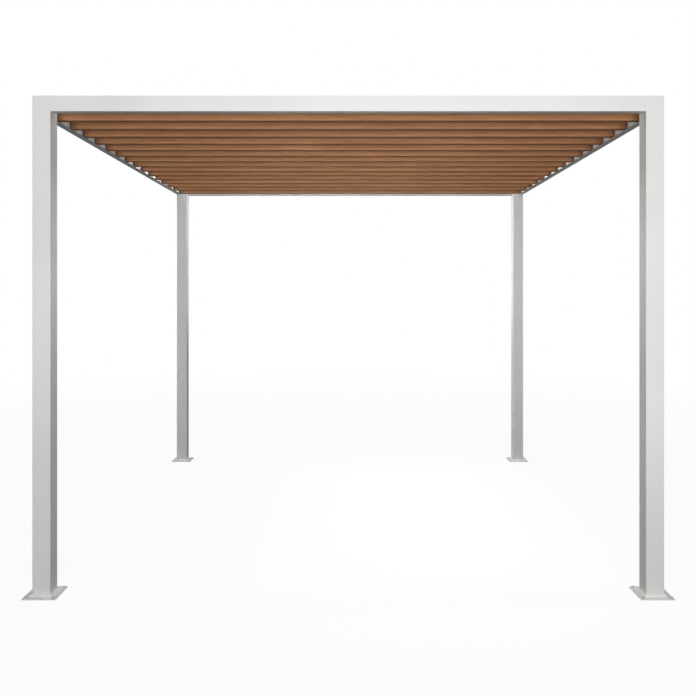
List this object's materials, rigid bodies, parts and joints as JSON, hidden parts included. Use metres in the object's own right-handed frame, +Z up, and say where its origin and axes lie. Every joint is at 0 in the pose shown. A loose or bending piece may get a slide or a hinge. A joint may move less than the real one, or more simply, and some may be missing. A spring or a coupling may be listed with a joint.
{
  "type": "garden pergola",
  "caption": "Free-standing square flat-roofed garden pergola: slim white posts on base plates, a ring of beams and wood-effect roof slats with gaps between.",
  "frame": {"origin": "on the ground, below the centre of the roof", "axes": "+X along the slats, to the right as seen from the front; +Y from the front to the back; +Z up"},
  "size_m": [3.074, 3.074, 2.381],
  "materials": {
    "frame_paint": "satin",
    "slat_wood_effect": "satin",
    "end_brown": "matte"
  },
  "bodies": {
    "root": {"post_front_left": "frame_paint", "post_front_right": "frame_paint", "post_back_left": "frame_paint", "post_back_right": "frame_paint", "base_front_left": "frame_paint", "base_front_right": "frame_paint", "base_back_left": "frame_paint", "base_back_right": "frame_paint", "cap_front_left": "frame_paint", "cap_front_right": "frame_paint", "cap_back_left": "frame_paint", "cap_back_right": "frame_paint", "beam_front": "frame_paint", "beam_back": "frame_paint", "beam_left": "frame_paint", "beam_right": "frame_paint", "slat_01": "slat_wood_effect", "slat_02": "slat_wood_effect", "slat_03": "slat_wood_effect", "slat_04": "slat_wood_effect", "slat_05": "slat_wood_effect", "slat_06": "slat_wood_effect", "slat_07": "slat_wood_effect", "slat_08": "slat_wood_effect", "slat_09": "slat_wood_effect", "slat_10": "slat_wood_effect", "slat_11": "slat_wood_effect", "slat_12": "slat_wood_effect", "slat_13": "slat_wood_effect", "slat_14": "slat_wood_effect", "slat_15": "slat_wood_effect", "slat_ends_left": "end_brown", "slat_ends_right": "end_brown"}
  },
  "joints": []
}
